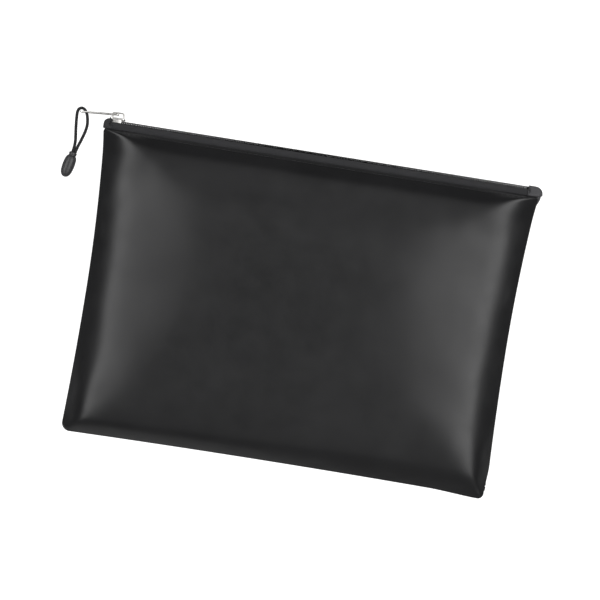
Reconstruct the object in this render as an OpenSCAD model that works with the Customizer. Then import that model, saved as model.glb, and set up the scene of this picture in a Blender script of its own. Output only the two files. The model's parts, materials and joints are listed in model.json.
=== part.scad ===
// A flat zip pouch for cash and papers. Two dished leatherette covers are sewn together round three
// edges, a coil zip closes the fourth, and the slider carries a metal tab with a corded grip.
// It lies on its back cover: +X runs along the zip, +Y points out of the zip edge and +Z is up.

/* [Pouch] */
// Length of the zip edge
zip_edge_w = 340; // [300:5:380]
// Depth from the bottom seam to the outside of the zip
pouch_h = 241; // [200:1:280]
// Greatest thickness, from the table to the crown of the front cover
pouch_t = 30; // [26:1:36]
// Height of the side and bottom seams above the table
seam_z = 10; // [9.5:0.5:12]
// How far each side draws in between the zip and the waist
side_draw = 6.5; // [2:0.5:9]
// How far each side spreads again between the waist and the bottom
foot_spread = 2.4; // [0:0.2:4]
// How much lower the bottom corners reach than the middle of the bottom seam
corner_drop = 1.5; // [0:0.5:3]
// Thickness of the leatherette
panel_t = 1.4; // [1:0.1:1.6]
// Thickness of the lining
lining_t = 0.6; // [0.4:0.1:0.8]

/* [Zip] */
// Thickness of the tape
tape_t = 0.7; // [0.5:0.1:0.8]
// Height of the coils above the tape
coil_t = 2.4; // [2:0.1:2.6]
// Half width of the closed chain of coils
chain_half = 3; // [2.8:0.1:3.1]
// Width of tape and coil that shows between the cover and the outside of the zip
band_w = 7.7; // [6.5:0.1:9]

/* [Slider] */
// Length of the slider along the zip
slider_l = 11.6; // [10:0.2:13]
// Width of the slider across the chain
slider_w = 8.8; // [8.8:0.1:9.2]
// Thickness of the slider's plates
plate_t = 1.5; // [1.2:0.1:1.7]
// Height of the crown over the outer plate
crown_h = 4.6; // [4.4:0.1:5]

/* [Pull] */
// Distance from the tab's pivot to its tip bar
tab_reach = 29; // [29:0.5:30]
// Width of the tab
tab_w = 6; // [5.8:0.1:7]
// Thickness of the tab
tab_t = 1.2; // [1:0.1:1.2]
// How far the tab dips towards the pouch, in degrees
tab_dip = 4.3; // [4:0.1:4.6]
// Diameter of the cord
cord_d = 2.4; // [2:0.1:2.4]
// Widest diameter of the grip
grip_d = 9.2; // [8:0.1:9.4]

/* [Hidden] */
$fn = 32;

// colours, as plain as the real materials
leatherette = [0.13, 0.13, 0.14];
woven_grey = [0.24, 0.24, 0.25];
nylon_black = [0.08, 0.08, 0.09];
thread_black = [0.05, 0.05, 0.06];
nickel = [0.80, 0.80, 0.78];

// the covers
side_front = 1;
side_back = -1;
top_y = pouch_h / 2;
hem_y = top_y - band_w;              // edge of both covers along the zip
waist_y = -10;                       // where the pouch is narrowest
waist_half = zip_edge_w / 2 - side_draw;
seam_gap = 0.2;                      // each cover's edge stands this far off the seam plane
mouth_half = 5.1;                    // half of the gap between the covers along the zip
mouth_from_y = 92;                   // below this the side seams are fully closed
hem_flat = 5;                        // width of the flat, topstitched hem along the zip
front_crown_d = 70;                  // how far in from the edge the front cover levels out
back_crown_d = 45;                   // how far in from the edge the back cover meets the table
crown_power = 2.6;                   // how steeply the covers leave the seam
wall_shift = 2;                      // how far the inside of a cover is drawn in
foot_r = 6;                          // corner radius at the bottom
head_r = 3;                          // corner radius at the zip
round_gain = 0.5;                    // growth of a corner radius for each millimetre inwards
foot_steps = 12;
side_steps = 10;
corner_steps = 4;
panel_insets = [70, 50, 34, 22, 13, 7, 4, 1.5, 0];
lining_insets = [70, 45, 25, 12, 6, 4];
lining_gap = 0.4;                    // clearance between a cover and its lining

// the zip
chain_y = top_y - coil_t;            // outer face of the tape, which the coils stand on
tape_y = chain_y - tape_t;
tape_half = mouth_half + 0.1 - 0.2;  // the band of tape lies just under the covers' edges
tape_inner_half = 0.9;               // the tapes and coils leave this half gap for the divider
tape_in_y = 107.2;                   // how far the tape reaches in under the cover
sewn_half = 158;                     // the tape's sewn edge stops here, short of the side seams
mouth_x = 146.5;                     // the zip opens between -mouth_x and mouth_x
end_gap = 0.3;                       // parting between a sewn-shut end and the stretch that opens
coil_end_l = -166.5;
coil_end_r = 163.5;
stop_l = 1.6;
core_r = 0.4;
core_play = 0.05;
tape_end_l = -168.1;
tape_end_r = 164.8;
knob_l = 7;

// the slider and its pull
slider_x = -160.5;
slide_gap = 0.3;                     // clearance between the slider and the chain
outer_plate_y = top_y + slide_gap;
inner_plate_y = tape_y - slide_gap - plate_t;
flange_t = 0.9;
divider_r = 0.55;
divider_x = -3;
crown_l = 10;
crown_w = 2.4;
crown_bar_t = 1.1;
crown_foot_l = 1.5;
crown_y = outer_plate_y + plate_t;   // foot of the crown
pivot_r = 0.6;
pivot_play = 0.15;
pivot_y = crown_y + crown_h - crown_bar_t - pivot_play - pivot_r;
tab_rail_w = 1.3;
tab_window_l = 7.5;
tab_slot_l = 7;
tip_r = 0.7;
grip_top = [-191, 91.5, 5];
grip_tip = [-194.4, 71.6, 4.9];

// the cord, from the grip up through the tab's slot, round its tip bar and back into the grip
cord_route = [
    [-192, 89, 5], [-191.4, 92, 5.1], [-190.8, 96, 5.5], [-190.6, 100, 6.2], [-190.9, 104, 7.1],
    [-191.3, 108, 8], [-191.7, 113, 9], [-192, 118, 9.7], [-192, 122, 10], [-191.3, 124.5, 10],
    [-189.6, 125.7, 10], [-187.6, 125.5, 10], [-185.8, 124, 10], [-184.4, 121.4, 10], [-183.5, 118, 9.7],
    [-183.1, 113.5, 9], [-183.8, 109, 8], [-185, 105, 7.1], [-186.4, 101, 6.2], [-187.9, 97, 5.5],
    [-189.1, 93, 5.1], [-190, 89, 5]
];
cord_sides = 8;

function clamp01(t) = min(1, max(0, t));
function smooth(t) = let (c = clamp01(t)) c * c * (3 - 2 * c);

// ---- outline of the covers ----

// half the pouch's width at a height y
function half_w(y) = waist_half + (y > waist_y
    ? side_draw * pow((y - waist_y) / (top_y - waist_y), 2)
    : foot_spread * pow((waist_y - y) / (waist_y + top_y), 2));

// the bottom seam, a shallow arch between its corners
function foot_y(x) = -top_y - corner_drop * pow(2 * x / zip_edge_w, 2);

// one corner's arc, without its last point
function arc(centre, r, from) =
    [for (i = [0 : corner_steps - 1]) let (a = from + 90 * i / corner_steps) centre + r * [cos(a), sin(a)]];

// the outline drawn in by d, as points that run anticlockwise from the bottom left corner
function outline(d) = let (
    rf = foot_r + round_gain * d,
    rh = head_r + round_gain * d,
    xf = half_w(-top_y) - d - rf,
    yf = foot_y(xf) + d + rf,
    xh = half_w(hem_y) - d - rh,
    yh = hem_y - d - rh
) concat(
    [for (i = [0 : foot_steps - 1]) let (x = xf * (2 * i / foot_steps - 1)) [x, foot_y(x) + d]],
    arc([xf, yf], rf, -90),
    [for (i = [0 : side_steps - 1]) let (y = yf + (yh - yf) * i / side_steps) [half_w(y) - d, y]],
    arc([xh, yh], rh, 0),
    [for (i = [0 : foot_steps - 1]) [xh * (1 - 2 * i / foot_steps), hem_y - d]],
    arc([-xh, yh], rh, 90),
    [for (i = [0 : side_steps - 1]) let (y = yh + (yf - yh) * i / side_steps) [d - half_w(y), y]],
    arc([-xf, yf], rf, 180)
);

edge_points = outline(0);

// 1 along the zip, 0 along the sewn edges, for one point of the outline
function mouth_share(p) = smooth((p.y - mouth_from_y) / (hem_y - mouth_from_y));

// how far a cover's outer face has risen, from 0 at the seam to 1 at the crown
function rise(d, m, crown_d) = let (flat = hem_flat * m)
    1 - pow(1 - clamp01((d - flat) / (crown_d - flat)), crown_power);

function cover_depth(side) = side > 0 ? pouch_t - seam_z : seam_z;
function crown_d(side) = side > 0 ? front_crown_d : back_crown_d;

// one ring of a cover or lining: drawn in by d + shift, and sunk below the outer face by sink
function cover_ring(side, d, shift, sink) = let (flat_ring = outline(d + shift))
    [for (i = [0 : len(flat_ring) - 1]) let (
        m = mouth_share(edge_points[i]),
        lip = seam_gap + panel_t + mouth_half * m,
        h = lip + (cover_depth(side) - lip) * rise(d, m, crown_d(side)) - sink
    ) [flat_ring[i].x, flat_ring[i].y, seam_z + side * h]];

function backwards(list) = [for (i = [len(list) - 1 : -1 : 0]) list[i]];

// ---- shared solids ----

// a closed solid through rings of equal length, with both end rings capped
module ring_solid(rings, flipped = false) {
    n = len(rings[0]);
    count = len(rings);
    points = [for (ring = rings) each ring];
    sides = [for (i = [0 : count - 2], j = [0 : n - 1]) let (
            a = i * n + j, b = i * n + (j + 1) % n, c = b + n, e = a + n
        ) each [[a, b, c], [a, c, e]]];
    caps = [[for (j = [n - 1 : -1 : 0]) j], [for (j = [0 : n - 1]) (count - 1) * n + j]];
    faces = concat(sides, caps);
    polyhedron(points, flipped ? [for (face = faces) backwards(face)] : faces);
}

// a dished sheet of one cover, between two depths below the cover's outer face
module dished_sheet(side, insets, outer_shift, outer_sink, inner_shift, inner_sink) {
    outer = [for (d = insets) cover_ring(side, d, outer_shift, outer_sink)];
    inner = [for (d = backwards(insets)) cover_ring(side, d, inner_shift, inner_sink)];
    ring_solid(concat(outer, inner), side < 0);
}

module panel(side)
    dished_sheet(side, panel_insets, 0, 0, wall_shift, panel_t);

module lining(side)
    dished_sheet(side, lining_insets, wall_shift, panel_t + lining_gap,
        wall_shift + lining_t, panel_t + lining_gap + lining_t);

// children drawn in the YZ plane, heights measured from the zip's centre, run from x0 to x1
module along_zip(x0, x1, side)
    translate([x0, 0, seam_z]) rotate([90, 0, 90]) linear_extrude(x1 - x0)
        mirror([0, side > 0 ? 0 : 1]) children();

// children drawn in the XZ plane, centred on the zip, stand from y0 to y1
module across_zip(y0, y1)
    translate([0, y1, seam_z]) rotate([90, 0, 0]) linear_extrude(y1 - y0) children();

// the strip of tape from y0 out to the chain, as wide as the gap between the covers
module tape_band(y0)
    translate([y0, tape_half - tape_t]) square([chain_y - y0, tape_t]);

// one side's tape between x0 and x1: the bed that the coil stands on, the strip beside the cover's
// edge, and the sewn edge under the cover
module tape(x0, x1, side) {
    along_zip(x0, x1, side) {
        translate([tape_y, tape_inner_half]) square([tape_t, tape_half - tape_inner_half]);
        tape_band(hem_y);
    }
    along_zip(max(x0, -sewn_half), min(x1, sewn_half), side) tape_band(tape_in_y);
}

module core_spot()
    translate([chain_y + coil_t / 2, (chain_half + tape_inner_half) / 2]) children();

module coil_profile() difference() {
    translate([chain_y, tape_inner_half]) square([coil_t, chain_half - tape_inner_half]);
    core_spot() circle(core_r + core_play);
}

module rounded_rect(size, r) {
    square([size.x - 2 * r, size.y], center = true);
    square([size.x, size.y - 2 * r], center = true);
    for (x = [-1, 1], y = [-1, 1])
        translate([x * (size.x / 2 - r), y * (size.y / 2 - r)]) circle(r);
}

// a row of stitches laid on the flat hem, thread_gap above the cover
module hem_stitches(side) {
    pitch = 4.2;
    stitch = [3.1, 0.7, 0.35];
    thread_gap = 0.02;
    row_y = hem_y - 2.2;
    count = 37;
    hem_z = seam_gap + panel_t + mouth_half;
    for (i = [-count : count])
        translate([i * pitch, row_y, seam_z + side * (hem_z + thread_gap + stitch.z / 2)])
            cube(stitch, center = true);
}

// the folded tape end that closes the gap at one end of the zip, between x0 and x1, with its knob
module end_tab(x0, x1, knob_x0, knob_x1) {
    clear = 0.15;
    steps = 8;
    half_h = mouth_half - clear;
    gusset_y = [for (i = [1 : steps]) mouth_from_y + 6 + (hem_y - mouth_from_y - 6) * i / steps];
    upper = [for (y = gusset_y) [y, mouth_half * mouth_share([0, y]) - clear]];
    lower = [for (p = backwards(upper)) [p.x, -p.y]];
    along_zip(x0, x1, side_front) polygon(concat([[hem_y + 3, -half_h]], [[hem_y + 3, half_h]],
        backwards(upper), backwards(lower)));
    knob_w = knob_x1 - knob_x0;
    knob_r = min(1.6, 0.45 * knob_w);
    knob_y0 = hem_y + 0.3;
    across_zip(knob_y0, top_y + 0.2)
        translate([(knob_x0 + knob_x1) / 2, 0]) rounded_rect([knob_w, 2 * half_h], knob_r);
}

// ---- back half, which lies on the table ----

module back_panel() color(leatherette) panel(side_back);

module back_lining() color(nylon_black) lining(side_back);

module back_zip_tape() color(woven_grey) tape(tape_end_l, tape_end_r, side_back);

module back_coil() color(nylon_black) along_zip(coil_end_l, coil_end_r, side_back) coil_profile();

module back_coil_core() color(thread_black)
    along_zip(coil_end_l, coil_end_r, side_back) core_spot() circle(core_r);

module back_topstitch() color(thread_black) hem_stitches(side_back);

module front_tape_ends() color(woven_grey) {
    tape(tape_end_l, -mouth_x - end_gap, side_front);
    tape(mouth_x + end_gap, tape_end_r, side_front);
}

module front_coil_ends() color(nylon_black) {
    along_zip(coil_end_l, -mouth_x - end_gap, side_front) coil_profile();
    along_zip(mouth_x + end_gap, coil_end_r, side_front) coil_profile();
}

module left_end_tab() color(woven_grey) end_tab(-169.6, -168.3, -170, -168.3);

module right_end_tab() color([0.33, 0.33, 0.34]) end_tab(165.2, 166.5, 165.2, 165.2 + knob_l);

// bars of dense stitching that hold the folded ends
module end_bar_tacks() color(thread_black) {
    tack = [1.2, 5, 0.3];
    for (x = [-169.15, 168.6])
        translate([x, hem_y + 4, seam_z + mouth_half - 0.1 + tack.z / 2]) cube(tack, center = true);
}

// two metal clamps that end the coils where the zip is closed
module top_stops() color(nickel)
    for (side = [side_front, side_back])
        along_zip(coil_end_l - stop_l, coil_end_l - 0.1, side)
            translate([chain_y + 0.05, tape_inner_half]) square([coil_t, chain_half - tape_inner_half]);

// one metal clamp across both coils where the zip opens
module bottom_stop() color(nickel)
    along_zip(coil_end_r + 0.1, coil_end_r + 1.3, side_front)
        translate([chain_y + 0.05, -chain_half]) square([coil_t, 2 * chain_half]);

// the thread that joins the covers round the sides and the bottom
module seam_stitches() color(thread_black) {
    seam_inset = 1.1;
    stitch = [3, 0.5, 0.3];
    pitch = 5;
    line = outline(seam_inset);
    for (i = [0 : len(line) - 1]) {
        a = line[i];
        b = line[(i + 1) % len(line)];
        span = norm(b - a);
        count = max(1, floor(span / pitch));
        if (max(a.y, b.y) < mouth_from_y)
            for (k = [0 : count - 1])
                translate([each (a + (b - a) * (k + 0.5) / count), seam_z])
                    rotate(atan2(b.y - a.y, b.x - a.x)) cube(stitch, center = true);
    }
}

// ---- front half, which lifts along the zip ----

module front_panel() color(leatherette) panel(side_front);

module front_lining() color(nylon_black) lining(side_front);

module front_zip_tape() color(woven_grey) tape(-mouth_x, mouth_x, side_front);

module front_coil() color(nylon_black) along_zip(-mouth_x, mouth_x, side_front) coil_profile();

module front_coil_core() color(thread_black)
    along_zip(-mouth_x, mouth_x, side_front) core_spot() circle(core_r);

module front_topstitch() color(thread_black) hem_stitches(side_front);

// ---- slider ----

module slider_body() color(nickel) translate([slider_x, 0, 0]) {
    plate_r = 2;
    flange_l = slider_l - 2 * plate_r;
    band_play = 0.45;
    inner_plate_w = 2 * (tape_half - tape_t - band_play);
    across_zip(outer_plate_y, outer_plate_y + plate_t) rounded_rect([slider_l, slider_w], plate_r);
    // the inner plate runs between the two strips of tape
    across_zip(inner_plate_y, inner_plate_y + plate_t) rounded_rect([slider_l, inner_plate_w], plate_r);
    // the flanges that keep the coils under the outer plate
    for (z = [-1, 1])
        across_zip(chain_y + slide_gap, outer_plate_y + plate_t / 2)
            translate([0, z * (slider_w - flange_t) / 2]) square([flange_l, flange_t], center = true);
    // the divider that joins the plates and parts the coils
    across_zip(inner_plate_y + plate_t / 2, outer_plate_y + plate_t / 2)
        translate([divider_x, 0]) circle(divider_r);
}

module slider_crown() color(nickel) translate([slider_x, crown_y, seam_z]) {
    window = [crown_l - 2 * crown_foot_l, crown_h - crown_bar_t];
    linear_extrude(crown_w, center = true) difference() {
        translate([-crown_l / 2, 0]) square([crown_l, crown_h]);
        translate([-window.x / 2, -1]) square([window.x, window.y + 1]);
    }
}

// ---- pull ----

module pull_tab() color(nickel) translate([slider_x, pivot_y, seam_z]) rotate(tab_dip) {
    slot_w = tab_w - 2 * tab_rail_w;
    cylinder(r = pivot_r, h = tab_w, center = true);
    translate([-tab_reach, 0, 0]) cylinder(r = tip_r, h = tab_w, center = true);
    translate([0, tab_t / 2, 0]) rotate([90, 0, 0]) linear_extrude(tab_t) difference() {
        translate([-tab_reach, -tab_w / 2]) square([tab_reach, tab_w]);
        translate([-tab_window_l, -slot_w / 2]) square([tab_window_l + 1, slot_w]);
        translate([tip_r - tab_reach, -slot_w / 2]) square([tab_slot_l, slot_w]);
    }
}

// one ring of the cord, square to the route at point i
function cord_ring(i) = let (
    last = len(cord_route) - 1,
    along = cord_route[min(i + 1, last)] - cord_route[max(i - 1, 0)],
    tangent = along / norm(along),
    level = cross([0, 0, 1], tangent),
    across = level / norm(level),
    up = cross(tangent, across)
) [for (j = [0 : cord_sides - 1]) let (a = 360 * j / cord_sides)
    cord_route[i] + cord_d / 2 * (cos(a) * across + sin(a) * up)];

module pull_cord() color(nylon_black) ring_solid([for (i = [0 : len(cord_route) - 1]) cord_ring(i)]);

// a moulded grip with a short collar, turned about the line from grip_top to grip_tip
module cord_grip() color(leatherette) {
    line = grip_tip - grip_top;
    length = norm(line);
    collar_r = 2.9;
    collar_l = 2.6;
    tip_flat_r = 2.6;
    steps = 9;
    swell = [for (i = [0 : steps]) let (t = i / steps)
        [tip_flat_r * t + collar_r * (1 - t) + (grip_d / 2 - collar_r) * pow(sin(180 * t), 0.6),
            collar_l + (length - collar_l) * t]];
    translate(grip_top)
        rotate([0, acos(line.z / length), atan2(line.y, line.x)])
            rotate_extrude() polygon(concat([[0, 0], [collar_r, 0]], swell, [[0, length]]));
}

back_panel();
back_lining();
back_zip_tape();
back_coil();
back_coil_core();
back_topstitch();
front_tape_ends();
front_coil_ends();
left_end_tab();
right_end_tab();
end_bar_tacks();
top_stops();
bottom_stop();
seam_stitches();
front_panel();
front_lining();
front_zip_tape();
front_coil();
front_coil_core();
front_topstitch();
slider_body();
slider_crown();
pull_tab();
pull_cord();
cord_grip();
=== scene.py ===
"""A flat zip pouch lying on its back cover, seen from straight above.

Metres throughout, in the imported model's own frame: +X along the zip, +Y out of the zip edge, +Z up.
"""
import json
import math

import bpy
import numpy as np
from mathutils import Matrix, Vector


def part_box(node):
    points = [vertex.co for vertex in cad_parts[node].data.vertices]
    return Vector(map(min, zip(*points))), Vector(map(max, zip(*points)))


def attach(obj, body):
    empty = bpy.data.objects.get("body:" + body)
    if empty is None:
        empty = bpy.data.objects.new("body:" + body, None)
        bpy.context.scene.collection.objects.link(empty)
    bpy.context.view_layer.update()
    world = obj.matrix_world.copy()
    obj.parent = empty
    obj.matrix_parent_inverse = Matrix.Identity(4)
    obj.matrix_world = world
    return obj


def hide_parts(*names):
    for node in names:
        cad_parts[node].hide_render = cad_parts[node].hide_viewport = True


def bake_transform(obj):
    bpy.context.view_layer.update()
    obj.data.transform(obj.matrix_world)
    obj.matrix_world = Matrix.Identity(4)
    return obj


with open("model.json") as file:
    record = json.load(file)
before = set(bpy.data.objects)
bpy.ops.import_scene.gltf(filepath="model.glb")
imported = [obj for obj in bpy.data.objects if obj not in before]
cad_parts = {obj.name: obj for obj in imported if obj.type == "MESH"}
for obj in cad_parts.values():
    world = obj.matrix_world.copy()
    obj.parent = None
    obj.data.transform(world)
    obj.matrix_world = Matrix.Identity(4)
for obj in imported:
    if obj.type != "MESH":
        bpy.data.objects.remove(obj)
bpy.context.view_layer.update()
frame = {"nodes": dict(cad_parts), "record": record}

MM = 0.001
UP = Vector((0, 0, 1))
FRONT, BACK = 1, -1

# ------------ places, from the frame

cover_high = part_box("front_panel")[1]
tape_low, tape_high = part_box("back_zip_tape")
coil_low, coil_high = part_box("back_coil")
slider_low, slider_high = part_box("slider_body")
crown_low, crown_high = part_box("slider_crown")

HEM_Y = cover_high.y  # edge of the covers along the zip
TOP_Y = coil_high.y  # outside of the chain
CHAIN_Y = coil_low.y  # outer face of the tape
SEAM_Z = (slider_low.z + slider_high.z) / 2
CROWN_Z = cover_high.z
SLIDER_X = (slider_low.x + slider_high.x) / 2

# the covers' shape, as in part.scad
ZIP_HALF = 170 * MM
SIDE_DRAW = 6.5 * MM
FOOT_SPREAD = 2.4 * MM
CORNER_DROP = 1.5 * MM
WAIST_Y = -10 * MM
MOUTH_HALF = 5.1 * MM
MOUTH_FROM_Y = 92 * MM
SEAM_GAP = 0.2 * MM
PANEL_T = 1.4 * MM
TAPE_T = 0.7 * MM
TAPE_IN_Y = 107.2 * MM
FOOT_R, FOOT_R_RIGHT = 7 * MM, 4.5 * MM  # bottom corners; the right one is sharper than part.scad's
HEAD_R = 3 * MM
WAIST_HALF = ZIP_HALF - SIDE_DRAW

# the slider and its tab, as in part.scad
TAB_DIP = math.radians(4.3)
TAB_REACH = 29 * MM
TAB_W = 6 * MM
TAB_T = 1.2 * MM
PIVOT = Vector((-160.5, 125.05, 10)) * MM
CORD_D = 2.4 * MM

# ------------ camera

VIEW_WIDTH = 463.2 * MM  # what the picture takes in at the height of the seams
VIEW_CENTRE = (0.6 * MM, 6.0 * MM)
LENS = 100.0
SENSOR = 36.0
ROLL = math.radians(9.1)


def link_object(name, data):
    linked = bpy.data.objects.new(name, data)
    bpy.context.scene.collection.objects.link(linked)
    return linked


def make_camera():
    data = bpy.data.cameras.new("camera")
    data.lens = LENS
    data.sensor_width = SENSOR
    data.clip_end = 20
    camera = link_object("camera", data)
    camera.location = (*VIEW_CENTRE, SEAM_Z + VIEW_WIDTH * LENS / SENSOR)
    camera.rotation_euler = (0, 0, ROLL)
    bpy.context.scene.camera = camera


make_camera()

# ------------ mesh helpers


def new_object(name, points, faces, smooth=True):
    mesh = bpy.data.meshes.new(name)
    mesh.from_pydata([tuple(p) for p in points], [], faces)
    mesh.validate()
    mesh.update()
    if smooth:
        mesh.shade_smooth()
    return link_object(name, mesh)


def grid_faces(rows, cols, close=False, flip=False):
    """Quads of a grid whose points run row by row. close joins the last column to the first."""
    faces = []
    for i in range(rows - 1):
        for j in range(cols if close else cols - 1):
            a = i * cols + j
            b = i * cols + (j + 1) % cols
            quad = (a, b, b + cols, a + cols)
            faces.append(quad[::-1] if flip else quad)
    return faces


def tube(line, radius, sides, flat=(1.0, 1.0), reference=UP, relief=None):
    """Points and faces of a closed tube round a line. relief(i, angle) scales the radius."""
    line = np.array(line, float)
    count = len(line)
    radii = np.broadcast_to(np.array(radius, float), (count,))
    tangent = np.gradient(line, axis=0)
    tangent /= np.linalg.norm(tangent, axis=1)[:, None]
    across = np.cross(np.array(reference, float), tangent)
    across /= np.linalg.norm(across, axis=1)[:, None]
    up = np.cross(tangent, across)
    angle = 2 * math.pi * np.arange(sides) / sides
    points = []
    for i in range(count):
        for a in angle:
            r = radii[i] * (relief(i, a) if relief else 1.0)
            points.append(line[i] + r * (math.cos(a) * flat[0] * across[i] + math.sin(a) * flat[1] * up[i]))
    faces = grid_faces(count, sides, close=True)
    faces.append(tuple(range(sides))[::-1])
    faces.append(tuple((count - 1) * sides + j for j in range(sides)))
    return points, faces


def join_parts(parts):
    """Several (points, faces) as one."""
    points, faces = [], []
    for part_points, part_faces in parts:
        start = len(points)
        points.extend(part_points)
        faces.extend(tuple(start + i for i in face) for face in part_faces)
    return points, faces


def spline(route, spacing):
    """A smooth line through the route's points, resampled evenly, and its length."""
    p = np.array(route, float)
    p = np.vstack([2 * p[0] - p[1], p, 2 * p[-1] - p[-2]])
    dense = []
    for i in range(1, len(p) - 2):
        for t in np.linspace(0, 1, 24, endpoint=False):
            a, b, c, d = p[i - 1], p[i], p[i + 1], p[i + 2]
            dense.append(0.5 * (2 * b + (c - a) * t + (2 * a - 5 * b + 4 * c - d) * t ** 2
                                + (3 * b - a - 3 * c + d) * t ** 3))
    dense.append(p[-2])
    dense = np.array(dense)
    run = np.concatenate([[0], np.cumsum(np.linalg.norm(np.diff(dense, axis=0), axis=1))])
    even = np.linspace(0, run[-1], max(2, int(run[-1] / spacing)) + 1)
    return np.column_stack([np.interp(even, run, dense[:, k]) for k in range(3)]), run[-1]


def smooth01(t):
    t = np.clip(t, 0, 1)
    return t * t * (3 - 2 * t)


def rounded_outline(corners, radii, steps=6):
    """A closed outline through corners in the plane, each rounded to its own radius."""
    points = []
    count = len(corners)
    for i in range(count):
        here = Vector(corners[i])
        before = (Vector(corners[i - 1]) - here).normalized()
        after = (Vector(corners[(i + 1) % count]) - here).normalized()
        half = before.angle(after) / 2
        cut = radii[i] / math.tan(half)
        centre = here + (before + after).normalized() * radii[i] / math.sin(half)
        first = (here + before * cut - centre).normalized()
        last = (here + after * cut - centre).normalized()
        for k in range(steps + 1):
            points.append(tuple(centre + radii[i] * first.slerp(last, k / steps)))
    return points


def rounded_box(low, high, radii):
    """A rounded rectangle between two opposite corners. The radii run anticlockwise from the low one."""
    return rounded_outline([low, (high[0], low[1]), high, (low[0], high[1])], radii)


def stamped(loops, thickness, bevel):
    """Points and faces of sheet metal cut to loops in its plane, with rounded edges, lying in z.

    Blender fills and bevels the loops as a flat curve, which is drawn in millimetres.
    """
    curve = bpy.data.curves.new("stamping", "CURVE")
    curve.dimensions = "2D"
    curve.fill_mode = "BOTH"
    curve.extrude = (thickness / 2 - bevel) / MM
    curve.bevel_depth = bevel / MM
    curve.bevel_resolution = 3
    curve.offset = -bevel / MM
    for loop in loops:
        kept = [p for i, p in enumerate(loop) if math.dist(p, loop[i - 1]) > 0.01 * MM]
        line = curve.splines.new("POLY")
        line.points.add(len(kept) - 1)
        for point, (x, y) in zip(line.points, kept):
            point.co = (x / MM, y / MM, 0, 1)
        line.use_cyclic_u = True
    holder = link_object("stamping", curve)
    bpy.context.view_layer.update()
    mesh = bpy.data.meshes.new_from_object(holder.evaluated_get(bpy.context.evaluated_depsgraph_get()))
    points = [tuple(v.co * MM) for v in mesh.vertices]
    faces = [tuple(p.vertices) for p in mesh.polygons]
    bpy.data.objects.remove(holder)
    bpy.data.curves.remove(curve)
    bpy.data.meshes.remove(mesh)
    return points, faces


def placed(part, matrix):
    """The part's points moved by a matrix."""
    points, faces = part
    flip = matrix.to_3x3().determinant() < 0
    return [tuple(matrix @ Vector(p)) for p in points], [f[::-1] if flip else f for f in faces]


def weld(piece, distance=0.002 * MM):
    """Joins the points that coincide."""
    modifier = piece.modifiers.new("weld", "WELD")
    modifier.merge_threshold = distance


# ------------ materials


class Nodes:
    """A short way to write a node material."""

    def __init__(self, name):
        self.material = bpy.data.materials.new(name)
        self.material.use_nodes = True
        self.tree = self.material.node_tree
        self.tree.nodes.clear()
        output = self.add("ShaderNodeOutputMaterial")
        self.shader = self.add("ShaderNodeBsdfPrincipled")
        self.join(self.shader, "BSDF", output, "Surface")
        self.place = self.add("ShaderNodeTexCoord")

    def add(self, kind, **values):
        node = self.tree.nodes.new(kind)
        for key, value in values.items():
            setattr(node, key, value)
        return node

    def join(self, source, out, target, into):
        self.tree.links.new(source.outputs[out], target.inputs[into])

    def set(self, **values):
        for key, value in values.items():
            self.shader.inputs[key.replace("_", " ")].default_value = value

    def mapped(self, scale=(1, 1, 1), turn=(0, 0, 0)):
        node = self.add("ShaderNodeMapping")
        node.inputs["Scale"].default_value = scale
        node.inputs["Rotation"].default_value = turn
        self.join(self.place, "Object", node, "Vector")
        return node

    def noise(self, scale, detail=3.0, roughness=0.5, mapping=None):
        node = self.add("ShaderNodeTexNoise")
        node.inputs["Scale"].default_value = scale
        node.inputs["Detail"].default_value = detail
        node.inputs["Roughness"].default_value = roughness
        self.join(mapping or self.place, "Vector" if mapping else "Object", node, "Vector")
        return node

    def ramp(self, source, out, stops):
        node = self.add("ShaderNodeValToRGB")
        while len(node.color_ramp.elements) < len(stops):
            node.color_ramp.elements.new(0.5)
        for element, (at, value) in zip(node.color_ramp.elements, stops):
            element.position = at
            element.color = (*value, 1) if isinstance(value, tuple) else (value, value, value, 1)
        self.join(source, out, node, "Fac")
        return node

    def vary(self, socket, source, out, low, high, span=(0.3, 0.7)):
        """Lets a shader input follow a texture, from one value to another."""
        ramp = self.ramp(source, out, [(span[0], low), (span[1], high)])
        self.join(ramp, "Color", self.shader, socket)

    def math(self, operation, first, out, second, second_out=None):
        node = self.add("ShaderNodeMath", operation=operation)
        self.join(first, out, node, 0)
        if second_out:
            self.join(second, second_out, node, 1)
        else:
            node.inputs[1].default_value = second
        return node

    def bump(self, height, out, strength, distance, base=None):
        node = self.add("ShaderNodeBump")
        node.inputs["Strength"].default_value = strength
        node.inputs["Distance"].default_value = distance
        self.join(height, out, node, "Height")
        if base:
            self.join(base, "Normal", node, "Normal")
        return node


def leatherette():
    """Black coated leatherette: a fine pebble grain, a satin shine and a faint mottle."""
    n = Nodes("leatherette")
    dark, light = (0.0088, 0.0088, 0.0094), (0.0118, 0.0118, 0.0125)
    n.vary("Base Color", n.noise(26, 4, 0.55), "Fac", dark, light)
    pebble = n.add("ShaderNodeTexVoronoi", feature="F1")
    pebble.inputs["Scale"].default_value = 900
    pebble.inputs["Randomness"].default_value = 0.9
    n.join(n.place, "Object", pebble, "Vector")
    grain = n.math("ADD", pebble, "Distance", n.noise(2300, 2, 0.6), "Fac")
    relief = n.bump(grain, "Value", 0.14, 0.10 * MM)
    soft = n.bump(n.noise(34, 3, 0.5), "Fac", 0.05, 1.2 * MM, relief)
    n.join(soft, "Normal", n.shader, "Normal")
    n.vary("Roughness", n.noise(60, 5, 0.6), "Fac", 0.31, 0.37)
    n.set(Specular_IOR_Level=0.42)
    return n.material


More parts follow.
